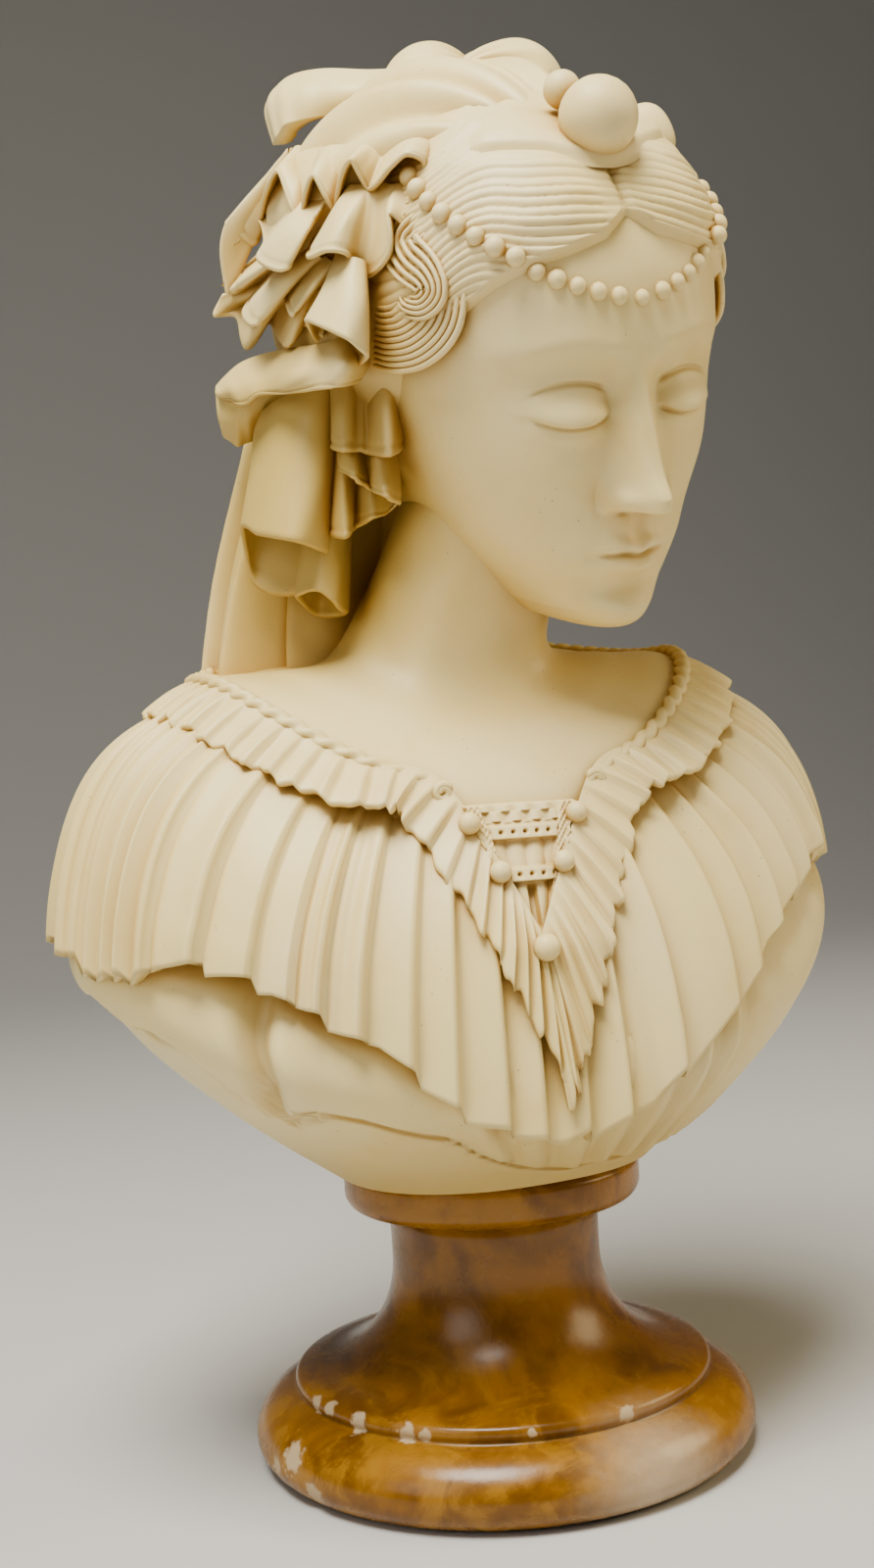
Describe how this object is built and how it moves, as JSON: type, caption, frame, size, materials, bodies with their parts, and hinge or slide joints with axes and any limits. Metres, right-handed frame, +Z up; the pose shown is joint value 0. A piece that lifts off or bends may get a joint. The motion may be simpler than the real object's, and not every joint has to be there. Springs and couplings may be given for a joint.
{
  "type": "female bust on a socle",
  "caption": "Carved bust of a veiled young woman with a pleated cape, on a turned round socle.",
  "frame": {"origin": "middle of the socle's flat underside", "axes": "+Z up, chest towards -Y, her left arm towards +X"},
  "size_m": [0.2218, 0.1684, 0.3858],
  "materials": {
    "cream_alabaster": "fine satin carved alabaster, warmer in the hollows",
    "amber_alabaster": "polished honey alabaster with pale clouds and small chips"
  },
  "bodies": {
    "root": {"bust": "cream_alabaster", "socle": "amber_alabaster"}
  },
  "joints": []
}
